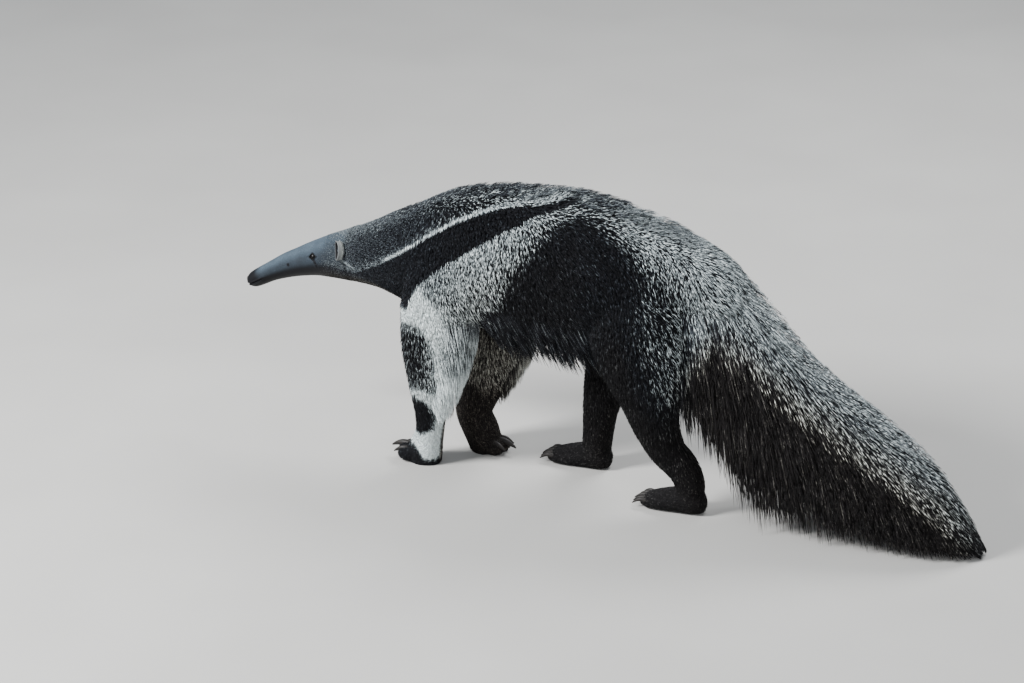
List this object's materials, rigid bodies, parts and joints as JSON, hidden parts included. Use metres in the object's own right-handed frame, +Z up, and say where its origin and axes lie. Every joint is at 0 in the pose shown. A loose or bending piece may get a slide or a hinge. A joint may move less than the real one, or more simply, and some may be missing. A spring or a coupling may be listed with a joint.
{
  "type": "giant anteater",
  "caption": "Life-size still model of a walking giant anteater with a long tapering muzzle, a grizzled back, a striped shoulder, pale forelegs and a long bushy tail laid on the ground.",
  "frame": {"origin": "on the floor, under the middle of the model's length and width", "axes": "+X from the muzzle towards the tip of the tail, +Y towards the animal's right side, +Z up"},
  "size_m": [1.8232, 0.3185, 0.7058],
  "materials": {
    "grizzled_coat": "coarse salt-and-pepper hair",
    "dark_coat": "black-brown hair",
    "pale_coat": "cream hair with dark patches",
    "tail_coat": "long coarse hair, silver above and dark below",
    "head_skin": "blue-grey skin under very short hair",
    "horn": "dark worn claw",
    "eye": "moist and dark"
  },
  "bodies": {
    "root": {"head": "head_skin", "ear_left": "pale_coat", "ear_right": "pale_coat", "eye_left": "eye", "eye_right": "eye", "neck": "grizzled_coat", "torso": "grizzled_coat", "upper_arm_left": "pale_coat", "upper_arm_right": "pale_coat", "forearm_left": "pale_coat", "forearm_right": "pale_coat", "forefoot_left": "pale_coat", "forefoot_right": "dark_coat", "thigh_left": "dark_coat", "thigh_right": "dark_coat", "shank_left": "dark_coat", "shank_right": "dark_coat", "hindfoot_left": "dark_coat", "hindfoot_right": "dark_coat", "tail_base": "tail_coat", "tail_middle": "tail_coat", "tail_end": "tail_coat", "claw_fore_left_1": "horn", "claw_fore_left_2": "horn", "claw_fore_left_3": "horn", "claw_fore_right_1": "horn", "claw_fore_right_2": "horn", "claw_fore_right_3": "horn", "claw_hind_left_1": "horn", "claw_hind_left_2": "horn", "claw_hind_left_3": "horn", "claw_hind_left_4": "horn", "claw_hind_left_5": "horn", "claw_hind_right_1": "horn", "claw_hind_right_2": "horn", "claw_hind_right_3": "horn", "claw_hind_right_4": "horn", "claw_hind_right_5": "horn"}
  },
  "joints": []
}
